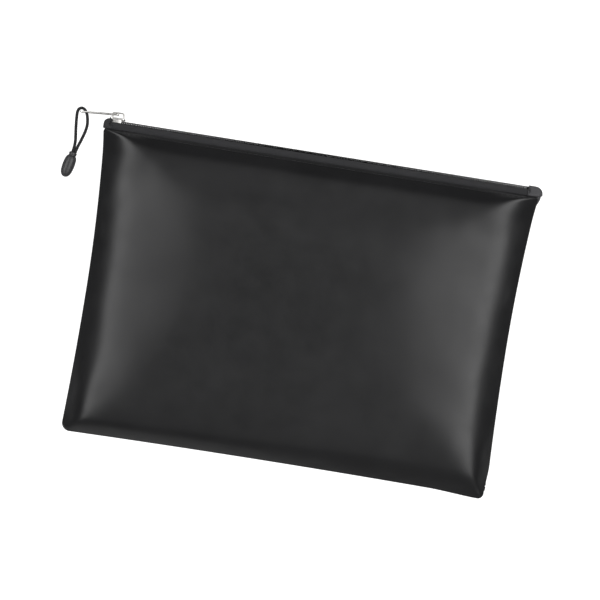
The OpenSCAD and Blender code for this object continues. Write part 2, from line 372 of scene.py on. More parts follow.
def woven(name, colour, pitch, lift, roughness=0.85):
    """A plain weave with threads a pitch apart."""
    n = Nodes(name)
    threads = []
    for direction in ("X", "Y"):
        wave = n.add("ShaderNodeTexWave", wave_type="BANDS", bands_direction=direction, wave_profile="SIN")
        wave.inputs["Scale"].default_value = math.pi / 10 / pitch  # its bands are pi / 10 apart at scale 1
        wave.inputs["Distortion"].default_value = 0.4
        wave.inputs["Detail"].default_value = 1
        n.join(n.place, "Object", wave, "Vector")
        threads.append(wave)
    weave = n.math("MULTIPLY", threads[0], "Fac", threads[1], "Fac")
    height = n.math("ADD", weave, "Value", n.noise(2600, 3, 0.7), "Fac")
    relief = n.bump(height, "Value", 0.5, lift)
    n.join(relief, "Normal", n.shader, "Normal")
    # painted shade and highlight: the colour darkens in the weave's hollows and lightens on the thread tops,
    # with some random tone from the noise
    dark = tuple(c * 0.72 for c in colour)
    light = tuple(c * 1.22 for c in colour)
    n.vary("Base Color", height, "Value", dark, light, span=(0.35, 1.0))
    n.vary("Roughness", n.noise(90, 4, 0.6), "Fac", roughness - 0.06, roughness + 0.06)
    n.set(Specular_IOR_Level=0.25, Sheen_Weight=0.1, Sheen_Roughness=0.5)
    return n.material


def moulded(name, colour, roughness, specular=0.5, scale=700, strength=0.06):
    """Moulded plastic or nylon with a faint satin texture."""
    n = Nodes(name)
    dark = tuple(c * 0.85 for c in colour)
    light = tuple(c * 1.15 for c in colour)
    n.vary("Base Color", n.noise(120, 3), "Fac", dark, light)
    relief = n.bump(n.noise(scale, 4, 0.6), "Fac", strength, 0.1 * MM)
    n.join(relief, "Normal", n.shader, "Normal")
    n.vary("Roughness", n.noise(260, 3), "Fac", roughness - 0.05, roughness + 0.05)
    n.set(Specular_IOR_Level=specular)
    return n.material


def nickel():
    """Polished nickel plate with fine lengthwise scuffs."""
    n = Nodes("nickel")
    dull, bright = (0.84, 0.825, 0.80), (0.92, 0.905, 0.88)
    n.vary("Base Color", n.noise(240, 3), "Fac", dull, bright)
    scuff = n.noise(1.0, 4, 0.65, n.mapped(scale=(420, 1500, 1500)))
    n.vary("Roughness", scuff, "Fac", 0.24, 0.38, span=(0.35, 0.75))
    relief = n.bump(scuff, "Fac", 0.05, 0.05 * MM)
    n.join(relief, "Normal", n.shader, "Normal")
    n.set(Metallic=1.0)
    return n.material


MATERIAL_OF_SLOT = {
    "leatherette": leatherette(),
    "lining": woven("lining", (0.014, 0.014, 0.016), 0.45 * MM, 0.06 * MM, 0.62),
    "zip_tape": woven("zip_tape", (0.029, 0.029, 0.031), 0.55 * MM, 0.12 * MM),
    "end_fabric": woven("end_fabric", (0.075, 0.075, 0.079), 0.6 * MM, 0.12 * MM),
    "zip_coil": moulded("zip_coil", (0.012, 0.012, 0.013), 0.38),
    "thread": woven("thread", (0.013, 0.013, 0.014), 0.25 * MM, 0.05 * MM, 0.6),
    "nickel": nickel(),
    "cord": woven("cord", (0.013, 0.013, 0.014), 0.35 * MM, 0.06 * MM, 0.62),
    "soft_grip": moulded("soft_grip", (0.034, 0.034, 0.036), 0.42, 0.55, 500, 0.08),
}


def finish_piece(piece, slot, *nodes):
    """Gives a piece the material of its record slot, and hides the CAD nodes it stands for."""
    piece.data.materials.clear()
    piece.data.materials.append(MATERIAL_OF_SLOT[slot])
    if nodes:
        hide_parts(*nodes)
    return piece


def bend_open(piece):
    """The piece bends from the back half at both ends of the zip to the front half in the middle.

    The mesh is folded onto its left half while its transform is baked, then its points are put back.
    """
    rest = np.empty(len(piece.data.vertices) * 3)
    piece.data.vertices.foreach_get("co", rest)
    folded = rest.reshape(-1, 3).copy()
    folded[:, 0] = -np.abs(folded[:, 0])
    piece.data.vertices.foreach_set("co", folded.ravel())
    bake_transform(piece)
    piece.data.vertices.foreach_set("co", rest)
    piece.data.update()


# ------------ cord and grip

# the cord's route, the same points as part.scad's, in metres
CORD_ROUTE = [
    (-0.192, 0.089, 0.005), (-0.1914, 0.092, 0.0051), (-0.1908, 0.096, 0.0055), (-0.1906, 0.1, 0.0062),
    (-0.1909, 0.104, 0.0071), (-0.1913, 0.108, 0.008), (-0.1917, 0.113, 0.009), (-0.192, 0.118, 0.0097),
    (-0.192, 0.122, 0.01), (-0.1913, 0.1245, 0.01), (-0.1896, 0.1257, 0.01), (-0.1876, 0.1255, 0.01),
    (-0.1858, 0.124, 0.01), (-0.1844, 0.1214, 0.01), (-0.1835, 0.118, 0.0097), (-0.1831, 0.1135, 0.009),
    (-0.1838, 0.109, 0.008), (-0.185, 0.105, 0.0071), (-0.1864, 0.101, 0.0062), (-0.1879, 0.097, 0.0055),
    (-0.1891, 0.093, 0.0051), (-0.19, 0.089, 0.005),
]
GRIP_TOP = Vector((-0.1908, 0.0915, 0.005))
GRIP_TIP = Vector((-0.1952, 0.0716, 0.0049))

# the grip's radius along its length, both in millimetres: a collar, a neck, then the swelling body
GRIP_PROFILE = [
    (0.0, 1.5), (0.15, 2.6), (0.55, 3.0), (1.8, 3.05), (2.4, 2.8), (2.7, 2.6), (3.0, 2.8),
    (3.5, 3.4), (4.4, 3.95), (6.0, 4.4), (8.0, 4.65), (10.5, 4.75), (13.0, 4.65), (15.5, 4.3),
    (17.5, 3.7), (19.0, 2.7), (19.8, 1.6), (20.1, 0.5),
]


def make_grip():
    """A moulded oval grip: a collar with a groove under it, then a body with shallow finger ribs."""
    line = GRIP_TIP - GRIP_TOP
    share = np.array([p[0] for p in GRIP_PROFILE]) / GRIP_PROFILE[-1][0]
    even = np.linspace(0, 1, 72)
    radii = np.interp(even, share, [p[1] * MM for p in GRIP_PROFILE])
    radii = np.convolve(np.pad(radii, 1, mode="edge"), [0.25, 0.5, 0.25], mode="valid")
    centre = [GRIP_TOP + line * float(t) for t in even]
    rib_pitch = 1.7 * MM / line.length
    rib_start, rib_end, rib_ease, rib_depth = 0.34, 0.78, 0.06, 0.018

    def ribs(i, angle):
        t = even[i]
        fade = float(smooth01((t - rib_start) / rib_ease) * smooth01((rib_end - t) / rib_ease))
        return 1 - rib_depth * fade * (0.5 - 0.5 * math.cos(t / rib_pitch * 2 * math.pi))

    part = tube(centre, radii, 40, flat=(1.0, 0.93), relief=ribs)
    grip = finish_piece(new_object("moulded_grip", *part), "soft_grip", "cord_grip")
    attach(grip, "pull")
    return grip


def make_cord(grip):
    """The braided loop. Its strands stand out as low diagonal ridges."""
    step = 0.35 * MM
    line, length = spline(CORD_ROUTE, step)
    braid_pitch = 3.4 * MM
    strands, ridge_high = 8, 0.035

    def braid(i, angle):
        turn = i * step / braid_pitch * math.pi
        ridge = max(math.cos(strands / 2 * (angle + turn)), math.cos(strands / 2 * (angle - turn)))
        return 1 - ridge_high + ridge_high * ridge

    part = tube(line, CORD_D / 2, 24, relief=braid)
    cord = finish_piece(new_object("braided_cord", *part), "cord", "pull_cord")
    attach(cord, "pull")


make_cord(make_grip())

# ------------ covers and linings

# how steeply a cover leaves its seam: (millimetres from the seam, degrees), a shoulder and then a crown
SHORT_CROWN = [
    (0, 37), (5, 35), (10, 31), (16, 24), (22, 15), (28, 9.5),
    (36, 6.5), (46, 4), (58, 2), (75, 0.8), (110, 0),
]
LONG_CROWN = [
    (0, 40), (5, 37), (10, 32), (16, 24), (22, 16), (30, 11),
    (44, 9.5), (58, 8.5), (74, 7), (90, 5), (108, 2), (150, 0),
]
LONG_DEPTH = 1.17  # the front's long crown is this many times as high as the short one

# how much of the long crown a place has: in the middle, further towards the zip, further to the right
LONG_SHARE, LONG_UP, LONG_RIGHT = 0.58, 0.45, 0.1
LONG_REACH = 60 * MM  # the distance that LONG_UP and LONG_RIGHT are for
LONG_FROM_HEM, LONG_EASE = 8 * MM, 30 * MM

# pace: how many times sooner the crown is reached than from the middle of a side
FOOT_PACE, HEM_PACE, BACK_PACE = 1.5, 1.9, 1.5
FOOT_LEAN, FOOT_LEAN_REACH = 0.42, 80 * MM  # the bottom's pace is more at the left, less at the right
LOW_SIDE_PACE = 0.4  # what the sides' pace gains near the bottom
LOW_SIDE_Y, LOW_SIDE_EASE = -50 * MM, 60 * MM
CORNER_PACE, CORNER_REACH = 1.2, 26 * MM  # what the hem's pace gains next to the sides
HEAD_BLEND, FOOT_BLEND = 6.0, 3.2  # how tightly the slopes meet along the corners' diagonals
TIP_FLATNESS, TIP_REACH = 0.45, 16 * MM  # the tips of the bottom corners are pressed flat

# the front cover sinks just below the zip, deepest between these two distances from the hem
VALLEY_DEPTH = 1.8 * MM
VALLEY_NEAR, VALLEY_FAR = 5 * MM, 15 * MM


def half_width(y):
    up = SIDE_DRAW * ((y - WAIST_Y) / (TOP_Y - WAIST_Y)) ** 2
    down = FOOT_SPREAD * ((WAIST_Y - y) / (WAIST_Y + TOP_Y)) ** 2
    return WAIST_HALF + np.where(y > WAIST_Y, up, down)


def foot_line(x):
    return -TOP_Y - CORNER_DROP * (x / ZIP_HALF) ** 2


def mouth_share(y):
    """0 where the side seams are closed, 1 along the zip."""
    return smooth01((y - MOUTH_FROM_Y) / (HEM_Y - MOUTH_FROM_Y))


def rise_curve(slopes):
    """Distances from the seam, and the share of the full height reached there, with the kinks eased."""
    at = np.linspace(0, slopes[-1][0], 2 * slopes[-1][0] + 1)
    slope = np.tan(np.radians(np.interp(at, [d for d, _ in slopes], [a for _, a in slopes])))
    slope = np.convolve(np.pad(slope, 6, mode="edge"), np.ones(13) / 13, mode="valid")
    height = np.concatenate([[0], np.cumsum((slope[1:] + slope[:-1]) / 2)])
    return at * MM, height / height[-1]


SHORT_AT, SHORT_RISE = rise_curve(SHORT_CROWN)
LONG_AT, LONG_RISE = rise_curve(LONG_CROWN)


def nearer(a, b, blend):
    """The smaller of two distances, eased where they are alike."""
    least = 0.01 * MM
    return (np.maximum(a, least) ** -blend + np.maximum(b, least) ** -blend) ** (-1 / blend)


def cover_height(x, y, side, foot, hem, face):
    """Height of a cover's outer face over the seam plane, from the distances to its three edges."""
    side = side * (1 + LOW_SIDE_PACE * smooth01((LOW_SIDE_Y - y) / LOW_SIDE_EASE))
    if face == BACK:
        side, foot, hem = side * BACK_PACE, foot * BACK_PACE, hem * BACK_PACE
    long_share = LONG_SHARE + LONG_UP * y / LONG_REACH + LONG_RIGHT * np.tanh(x / LONG_REACH)
    long_share = np.clip(long_share, 0, 1) * smooth01((hem - LONG_FROM_HEM) / LONG_EASE)
    corner_pace = 1 + CORNER_PACE * np.exp(-(side / CORNER_REACH) ** 2)
    foot_pace = FOOT_PACE - FOOT_LEAN * np.tanh(x / FOOT_LEAN_REACH)
    d = nearer(side, hem * HEM_PACE * corner_pace, HEAD_BLEND)
    d = nearer(d, foot * foot_pace, FOOT_BLEND)
    d = d * (1 - TIP_FLATNESS * np.exp(-(side ** 2 + foot ** 2) / TIP_REACH ** 2))
    long_rise = np.interp(d, LONG_AT, LONG_RISE) * (LONG_DEPTH if face == FRONT else 1.0)
    rise = np.interp(d, SHORT_AT, SHORT_RISE) * (1 - long_share) + long_rise * long_share
    lip = SEAM_GAP + PANEL_T + MOUTH_HALF * mouth_share(y)
    depth = CROWN_Z - SEAM_Z if face == FRONT else SEAM_Z
    valley = VALLEY_DEPTH * (np.exp(-(hem / VALLEY_FAR) ** 2) - np.exp(-(hem / VALLEY_NEAR) ** 2))
    return lip + (depth - lip) * rise - valley * (face == FRONT)


def rounded_corner(a, b, r):
    """Distances a and b from two edges, changed so that the corner between them is round."""
    p, q = np.clip(1 - a / r, 0, 1), np.clip(1 - b / r, 0, 1)
    inside = (p > 0) & (q > 0)
    round_a = r * (1 - p * np.sqrt(1 - q ** 2 / 2))
    round_b = r * (1 - q * np.sqrt(1 - p ** 2 / 2))
    return np.where(inside, round_a, a), np.where(inside, round_b, b)


def edge_steps(count, crowd=1.3):
    """Values from -1 to 1 that crowd towards both ends."""
    t = np.linspace(-1, 1, count)
    return np.sign(t) * (1 - (1 - np.abs(t)) ** crowd)


def waves(x, y, seed, wavelength):
    """Smooth repeatable unevenness, a sum of a few waves."""
    random = np.random.default_rng(seed)
    total = np.zeros_like(x)
    for _ in range(9):
        angle = random.uniform(0, math.pi)
        phase = random.uniform(0, 2 * math.pi)
        length = wavelength * random.uniform(0.6, 1.7)
        total += np.sin((x * math.cos(angle) + y * math.sin(angle)) * 2 * math.pi / length + phase)
    return total / 4


CREASE_HIGH, CREASE_WIDE = 0.7 * MM, 3.6 * MM
CREASE_LEAN_LEFT, CREASE_LEAN_RIGHT = 0.72, 1.35  # how far each one climbs for a step in from the side
CREASE_START, CREASE_FADE, CREASE_END = 6 * MM, 22 * MM, 30 * MM


def creases(x, side, foot):
    """Raised folds that run up from the bottom corners, the left one flatter than the right one."""
    lean = np.where(x < 0, CREASE_LEAN_LEFT, CREASE_LEAN_RIGHT)
    across = (foot - lean * side) / np.sqrt(1 + lean ** 2)
    along = np.hypot(side, foot)
    fold = CREASE_HIGH * np.exp(-(across / CREASE_WIDE) ** 2)
    return fold * smooth01(along / CREASE_START) * smooth01((CREASE_END - along) / CREASE_FADE)


PUCKER_HIGH, PUCKER_WAVE = 0.16 * MM, 17 * MM
PUCKER_IN, PUCKER_WIDE = 4 * MM, 3 * MM  # how far in from the seam they are strongest, and their reach


def seam_puckers(x, side, foot):
    """Small waves where the sewn edges gather the leatherette."""
    edge = np.minimum(side, foot)
    along = np.where(side < foot, foot, x)
    near = np.exp(-((edge - PUCKER_IN) / PUCKER_WIDE) ** 2)
    return PUCKER_HIGH * near * waves(along, along * 0.3, 21, PUCKER_WAVE)


# the lower right corner is drawn inwards and hangs lower, from these places on
SAG_IN, SAG_DOWN = 2.0 * MM, 1.5 * MM
SAG_Y, SAG_EASE_Y = -96 * MM, 24 * MM
SAG_IN_X, SAG_IN_EASE = 140 * MM, 25 * MM
SAG_DOWN_X, SAG_DOWN_EASE = 120 * MM, 40 * MM


def cover_grid(cols, rows):
    """A cover's grid in plan, with each point's distances to the sides, the bottom seam and the hem."""
    s, t = np.meshgrid(edge_steps(cols), edge_steps(rows))
    bottom = foot_line(s * ZIP_HALF)
    y = bottom + (HEM_Y - bottom) * (t + 1) / 2
    side = half_width(y) * (1 - np.abs(s))
    foot = y - bottom
    hem = HEM_Y - y
    low = foot < hem
    side_low, foot_low = rounded_corner(side, foot, np.where(s < 0, FOOT_R, FOOT_R_RIGHT))
    side_high, hem_high = rounded_corner(side, hem, HEAD_R)
    y = np.where(low, bottom + foot_low, HEM_Y - hem_high)
    x = np.sign(s) * (half_width(y) - np.where(low, side_low, side_high))
    at_foot = smooth01((SAG_Y - y) / SAG_EASE_Y)
    x = x - SAG_IN * at_foot * smooth01((x - SAG_IN_X) / SAG_IN_EASE)
    y = y - SAG_DOWN * at_foot * smooth01((x - SAG_DOWN_X) / SAG_DOWN_EASE)
    return x, y, side, foot, hem


# the turned edge below a cover's rim, as (inwards, down), and where the inside starts, in millimetres
TURNED_EDGE = [(-0.12, 0.35), (-0.14, 0.75), (0.05, 1.12), (0.45, 1.38), (1.0, 1.5)]
INSIDE_RIM = (1.8, 1.38)


def rim_of(rows, cols):
    """Indices round the grid's border, anticlockwise seen from above."""
    rim = list(range(cols))
    rim += [i * cols + cols - 1 for i in range(1, rows)]
    rim += [(rows - 1) * cols + j for j in range(cols - 2, -1, -1)]
    rim += [i * cols for i in range(rows - 2, 0, -1)]
    return rim


def grid_normals(points, rows, cols):
    grid = points.reshape(rows, cols, 3)
    normal = np.cross(np.gradient(grid, axis=1), np.gradient(grid, axis=0))
    normal /= np.linalg.norm(normal, axis=2)[..., None]
    return normal.reshape(-1, 3)


COVER_COLS, COVER_ROWS = 191, 137


def sheet_solid(outer, rows, cols, face, thickness, edge, inside_rim):
    """A closed sheet: its outer face, a turned edge round the rim, and its inner face."""
    count = rows * cols
    normal = grid_normals(outer, rows, cols)
    inner = outer - normal * thickness
    rim = rim_of(rows, cols)
    rim_points = outer[rim]
    along = np.roll(rim_points, -1, axis=0) - np.roll(rim_points, 1, axis=0)
    inwards = np.column_stack([-along[:, 1], along[:, 0], np.zeros(len(rim))])
    inwards /= np.linalg.norm(inwards, axis=1)[:, None]
    down = np.array([0, 0, -face])
    rings = [rim_points + inwards * a * MM + down * b * MM for a, b in edge]
    inner[rim] = rim_points + inwards * inside_rim[0] * MM + down * inside_rim[1] * MM
    points = np.vstack([outer, inner] + rings)
    faces = grid_faces(rows, cols)
    faces += [tuple(count + i for i in quad)[::-1] for quad in grid_faces(rows, cols)]
    n = len(rim)
    loops = [rim] + [[2 * count + k * n + j for j in range(n)] for k in range(len(edge))]
    loops.append([count + i for i in rim])
    for upper, lower in zip(loops[:-1], loops[1:]):
        for j in range(n):
            k = (j + 1) % n
            faces.append((upper[k], upper[j], lower[j], lower[k]))
    if face == BACK:
        faces = [quad[::-1] for quad in faces]
    return points, faces


CLOTH_STEP = 2  # the cloth is simulated on every second point of the cover's grid
CLOTH_FRAMES = 16
CLOTH_QUALITY = 6
CLOTH_FULLER = 0.010  # the skin is cut this share larger than its seams allow
CLOTH_PRESSURE = 1.5  # a light push from the inside
CLOTH_BENDING = 8.0
CLOTH_CAP = 1.1 * MM  # the result is scaled down so that no point moves further than this
CLOTH_SMOOTHING = 2  # passes that ease the result, since leatherette holds no sharp wrinkle
SEWN_ROWS = 2  # grid rows next to the edge that the stitches hold still


def sewn_points(rows, cols):
    """Indices of a grid's points that lie in its outermost rows and columns."""
    from_edge_y = np.minimum(np.arange(rows), np.arange(rows)[::-1])
    from_edge_x = np.minimum(np.arange(cols), np.arange(cols)[::-1])
    from_edge = np.minimum(from_edge_y[:, None], from_edge_x[None, :])
    return [int(i) for i in np.flatnonzero(from_edge < SEWN_ROWS)]


def simulate_cloth(skin):
    """The skin's points after the cloth simulation. Its vertex group "sewn" is held still."""
    cloth = skin.modifiers.new("cloth", "CLOTH")
    cloth.settings.quality = CLOTH_QUALITY
    cloth.settings.vertex_group_mass = "sewn"
    cloth.settings.shrink_min = -CLOTH_FULLER
    cloth.settings.use_pressure = True
    cloth.settings.uniform_pressure_force = CLOTH_PRESSURE
    cloth.settings.bending_stiffness = CLOTH_BENDING
    cloth.settings.effector_weights.gravity = 0
    cloth.point_cache.frame_start = 1
    cloth.point_cache.frame_end = CLOTH_FRAMES
    scene = bpy.context.scene
    for frame_number in range(1, CLOTH_FRAMES + 1):
        scene.frame_set(frame_number)
    settled = skin.evaluated_get(bpy.context.evaluated_depsgraph_get()).data
    moved = np.empty(len(settled.vertices) * 3)
    settled.vertices.foreach_get("co", moved)
    return moved


def refined(coarse, rows, cols):
    """A coarse grid's values on the full grid, in straight steps between its points."""
    all_rows, all_cols = np.arange(rows), np.arange(cols)
    coarse_rows, coarse_cols = all_rows[::CLOTH_STEP], all_cols[::CLOTH_STEP]
    fine = np.empty((rows, cols, 3))
    for axis in range(3):
        wide = np.array([np.interp(all_cols, coarse_cols, row) for row in coarse[..., axis]])
        tall = [np.interp(all_rows, coarse_rows, column) for column in wide.T]
        fine[..., axis] = np.array(tall).T
    return fine


def settle_as_cloth(outer, rows, cols):
    """The cover's skin after it has settled as cloth between its sewn edges, a little fuller than flat."""
    grid = outer.reshape(rows, cols, 3)[::CLOTH_STEP, ::CLOTH_STEP]
    count_y, count_x = grid.shape[:2]
    skin = new_object("settling_skin", grid.reshape(-1, 3), grid_faces(count_y, count_x))
    sewn = skin.vertex_groups.new(name="sewn")
    sewn.add(sewn_points(count_y, count_x), 1.0, "REPLACE")
    shift = simulate_cloth(skin).reshape(count_y, count_x, 3) - grid
    bpy.data.objects.remove(skin)
    bpy.context.scene.frame_set(1)
    for _ in range(CLOTH_SMOOTHING):
        beside = shift[1:-1, :-2] + shift[1:-1, 2:]
        shift[1:-1, 1:-1] = (shift[:-2, 1:-1] + shift[2:, 1:-1] + beside) / 4
    distance = np.linalg.norm(shift, axis=2)
    shift = shift * min(1.0, CLOTH_CAP / distance.max())
    return outer + refined(shift, rows, cols).reshape(-1, 3)


HEM_FADE = 24 * MM  # the small folds die away this far below the zip
BACK_FOLDS = 0.4  # the back cover has this share of them, since it lies on the table
UNEVEN_HIGH, UNEVEN_WAVE, UNEVEN_EASE = 0.22 * MM, 70 * MM, 25 * MM


def cover_face(face):
    x, y, side, foot, hem = cover_grid(COVER_COLS, COVER_ROWS)
    h = cover_height(x, y, side, foot, hem, face)
    fade = smooth01(hem / HEM_FADE)
    folds = seam_puckers(x, side, foot) + creases(x, side, foot)
    h = h + folds * fade * (1.0 if face == FRONT else BACK_FOLDS)
    if face == FRONT:
        uneven = UNEVEN_HIGH * waves(x, y, 5, UNEVEN_WAVE)
        h = h + uneven * smooth01(np.minimum(side, foot) / UNEVEN_EASE) * fade
    else:
        h = np.minimum(h, SEAM_Z)
    return np.column_stack([x.ravel(), y.ravel(), (SEAM_Z + face * h).ravel()])


def make_cover(name, face, node):
    outer = cover_face(face)
    if face == FRONT:
        outer = settle_as_cloth(outer, COVER_ROWS, COVER_COLS)
    part = sheet_solid(outer, COVER_ROWS, COVER_COLS, face, PANEL_T * face, TURNED_EDGE, INSIDE_RIM)
    return finish_piece(new_object(name, *part), "leatherette", node)


LINING_COLS, LINING_ROWS = 101, 73
LINING_T = 0.4 * MM
LINING_EDGE = [(0.1, 0.1), (0.15, 0.2), (0.1, 0.3)]
LINING_INSIDE_RIM = (0.05, 0.4)
LINING_GAP = 0.7 * MM  # from the cover's inner face
LINING_SLACK, SLACK_WAVE, SLACK_EASE = 0.5 * MM, 34 * MM, 30 * MM
LINING_MIN = 1.0 * MM  # the least height over the seam plane
LINING_TOP_IN = 6.2 * MM  # its top edge lies this far below the covers' edge
LINING_WIDTH, LINING_HEIGHT = 0.972, 0.955  # its size in plan as a share of the cover's


def make_lining(name, face, node):
    """Thin woven nylon inside a cover, a little slack."""
    x, y, side, foot, hem = cover_grid(LINING_COLS, LINING_ROWS)
    h = cover_height(x, y, side, foot, hem, face) - PANEL_T - LINING_GAP
    slack = LINING_SLACK * (1.2 + waves(x, y, 11, SLACK_WAVE)) * smooth01(hem / SLACK_EASE)
    h = np.maximum(h - slack, LINING_MIN)
    x = x * LINING_WIDTH
    y = HEM_Y - LINING_TOP_IN - (HEM_Y - y) * LINING_HEIGHT
    outer = np.column_stack([x.ravel(), y.ravel(), (SEAM_Z + face * h).ravel()])
    part = sheet_solid(outer, LINING_ROWS, LINING_COLS, face, LINING_T * face, LINING_EDGE, LINING_INSIDE_RIM)
    return finish_piece(new_object(name, *part), "lining", node)


def make_covers():
    back_cover = make_cover("back_cover", BACK, "back_panel")
    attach(back_cover, "back_half")
    back_cloth = make_lining("back_lining_cloth", BACK, "back_lining")
    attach(back_cloth, "back_half")
    front_cover = make_cover("front_cover", FRONT, "front_panel")
    bend_open(front_cover)
    front_cloth = make_lining("front_lining_cloth", FRONT, "front_lining")
    bend_open(front_cloth)


make_covers()

# ------------ zip

TAPE_BEND_R = 1.1 * MM
TAPE_STEPS = 220
BAND_OUT = 2.4 * MM  # the flat band's middle points lie at the hem and this far beyond it
BED_HEIGHTS = (2.4 * MM, 1.6 * MM, 0.95 * MM)  # the tape's stretch under the chain, down to its edge
TUCK, TUCK_X, TUCK_EASE = 6 * MM, 156 * MM, 6 * MM  # near its ends the tape's inner edge is drawn up
RIPPLES = [(0.10 * MM, 13 * MM, 0), (0.07 * MM, 5.3 * MM, 1)]  # height, length of a radian, phase


def tape_section(steps=7):
    """One side's tape in (y, height over the zip's centre): the flat band, its bend, the chain's bed."""
    top = MOUTH_HALF - 0.1 * MM
    r = TAPE_BEND_R
    section = [(TAPE_IN_Y, top), (HEM_Y, top), (HEM_Y + BAND_OUT, top)]
    for i in range(steps + 1):
        a = math.pi / 2 * (1 - i / steps)
        section.append((CHAIN_Y - r + r * math.cos(a), top - r + r * math.sin(a)))
    return section + [(CHAIN_Y, h) for h in BED_HEIGHTS]


def make_tape(name, face, *nodes):
    section = tape_section()
    band_h = MOUTH_HALF - 0.3 * MM
    columns = np.linspace(tape_low.x, tape_high.x, TAPE_STEPS)
    points = []
    for x in columns:
        tuck = TUCK * smooth01((abs(x) - TUCK_X) / TUCK_EASE)
        ripple = sum(high * math.sin(x / length + phase) for high, length, phase in RIPPLES)
        for k, (y, h) in enumerate(section):
            y = min(y + tuck, HEM_Y + 0.2 * MM * k) if k < 2 else y
            points.append((x, y, SEAM_Z + face * (h + ripple * (h > band_h))))
    piece = new_object(name, points, grid_faces(len(columns), len(section), flip=face == FRONT))
    solid = piece.modifiers.new("thickness", "SOLIDIFY")
    solid.thickness = TAPE_T
    solid.offset = -1
    return finish_piece(piece, "zip_tape", *nodes)


COIL_PITCH = 1.35 * MM
WIRE_R = 0.33 * MM


def make_coil(name, face, *nodes):
    """A helix of nylon wire. The two coils stand half a turn apart, so that their heads interlock."""
    steps, sides = 12, 6
    turns = int((coil_high.x - coil_low.x) / COIL_PITCH) - 1
    phase = 0.0 if face == FRONT else 0.5
    middle_y = (CHAIN_Y + TOP_Y) / 2
    half_y = (TOP_Y - CHAIN_Y) / 2 - WIRE_R
    head, heel = -0.75 * MM, 3.0 * MM - WIRE_R
    line = []
    for i in range(turns * steps + 1):
        a = 2 * math.pi * i / steps
        across = (head + heel) / 2 - (heel - head) / 2 * math.cos(a)
        x = coil_low.x + COIL_PITCH * (i / steps + phase)
        line.append((x, middle_y + half_y * math.sin(a), SEAM_Z + face * across))
    part = tube(line, WIRE_R, sides, reference=Vector((1, 0, 0)))
    return finish_piece(new_object(name, *part), "zip_coil", *nodes)


def make_topstitch(name, face, node):
    """A row of thread along the hem: each stitch dips into the leatherette at both ends."""
    pitch, stitch, thread_r = 4.2 * MM, 3.4 * MM, 0.34 * MM
    each_way, hem = 37, 2.2 * MM
    high, deep, slant = 0.05 * MM, 0.5 * MM, 0.12 * MM
    t = np.linspace(-1, 1, 9)
    y = np.full(len(t), HEM_Y - hem)
    parts = []
    for i in range(-each_way, each_way + 1):
        x = i * pitch + t * stitch / 2
        side = half_width(y) - np.abs(x)
        h = cover_height(x, y, side, y - foot_line(x), np.full(len(t), hem), face) + high - deep * t ** 4
        parts.append(tube(np.column_stack([x, y + slant * t, SEAM_Z + face * h]), thread_r, 8))
    return finish_piece(new_object(name, *join_parts(parts)), "thread", node)


def make_zip():
    back_tape = make_tape("back_tape_cloth", BACK, "back_zip_tape")
    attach(back_tape, "back_half")
    bend_open(make_tape("front_tape_cloth", FRONT, "front_zip_tape", "front_tape_ends"))
    back_coil = make_coil("back_coil_wire", BACK, "back_coil", "back_coil_core")
    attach(back_coil, "back_half")
    bend_open(make_coil("front_coil_wire", FRONT, "front_coil", "front_coil_ends", "front_coil_core"))
    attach(make_topstitch("back_hem_thread", BACK, "back_topstitch"), "back_half")
    bend_open(make_topstitch("front_hem_thread", FRONT, "front_topstitch"))


make_zip()

# ------------ folded tape ends

FOLD_HALF = 5.5 * MM  # half of the folded end's height, just outside the tape
FOLD_T = 0.6 * MM
FOLD_ROWS = 12
FOLD_OVER, FOLD_CLEAR = 0.3 * MM, 0.1 * MM  # how far it stands over the chain, and clear of the hem
PINCH = 0.25 * MM  # how uneven the fold's faces are
GUSSET_COLS = 9
GUSSET_START, GUSSET_END = 5 * MM, 2 * MM  # from the mouth's end to its start, and from the hem to its end
GUSSET_IN = 0.9 * MM  # how far inside the cover's outline its edges lie


def fold_line(start_x, end_x, bend_r, steps=8):
    """The folded end in plan along the zip: over the front, round the end and back over the back."""
    sign = 1 if end_x > start_x else -1
    line = [(start_x + (end_x - sign * bend_r - start_x) * t, FOLD_HALF) for t in np.linspace(0, 1, 6)]
    for i in range(1, steps + 1):
        a = math.pi / 2 * (1 - i / steps)
        line.append((end_x - sign * bend_r * (1 - math.cos(a)), FOLD_HALF - bend_r * (1 - math.sin(a))))
    middle = [(x, -z) for x, z in reversed(line)]
    return line + middle


def fold_sheet(start_x, end_x, bend_r, corner, low_slant):
    """Woven tape folded round one end of the zip, with its outer corner rounded off."""
    plan = fold_line(start_x, end_x, bend_r)
    points = []
    for i in range(FOLD_ROWS):
        t = i / (FOLD_ROWS - 1)
        for x, z in plan:
            near = max(0.0, 1 - abs(end_x - x) / corner)
            high = TOP_Y + FOLD_OVER - corner * (1 - math.sqrt(max(0.0, 1 - near ** 2)))
            low = HEM_Y + FOLD_CLEAR + low_slant * near
            pinch = PINCH * math.sin(t * math.pi * 3) * (1 if z > 0 else -1)
            points.append((x, low + (high - low) * t, SEAM_Z + z + pinch * (1 - near)))
    return points, grid_faces(FOLD_ROWS, len(plan), flip=end_x < start_x)


def gusset_sheet(sign, out):
    """The strip that closes the mouth's end between the two covers, bulging out in the middle."""
    start_y, end_y = MOUTH_FROM_Y + GUSSET_START, HEM_Y + GUSSET_END
    points = []
    for i in range(FOLD_ROWS):
        y = start_y + (end_y - start_y) * i / (FOLD_ROWS - 1)
        reach = MOUTH_HALF * float(mouth_share(y)) - 0.1 * MM
        bulge = out * float(mouth_share(y)) ** 4
        edge = float(half_width(np.array(y))) - GUSSET_IN
        for k in range(GUSSET_COLS):
            z = -1 + 2 * k / (GUSSET_COLS - 1)
            points.append((sign * (edge + bulge * (1 - z ** 2)), y, SEAM_Z + reach * z))
    return points, grid_faces(FOLD_ROWS, GUSSET_COLS, flip=sign > 0)


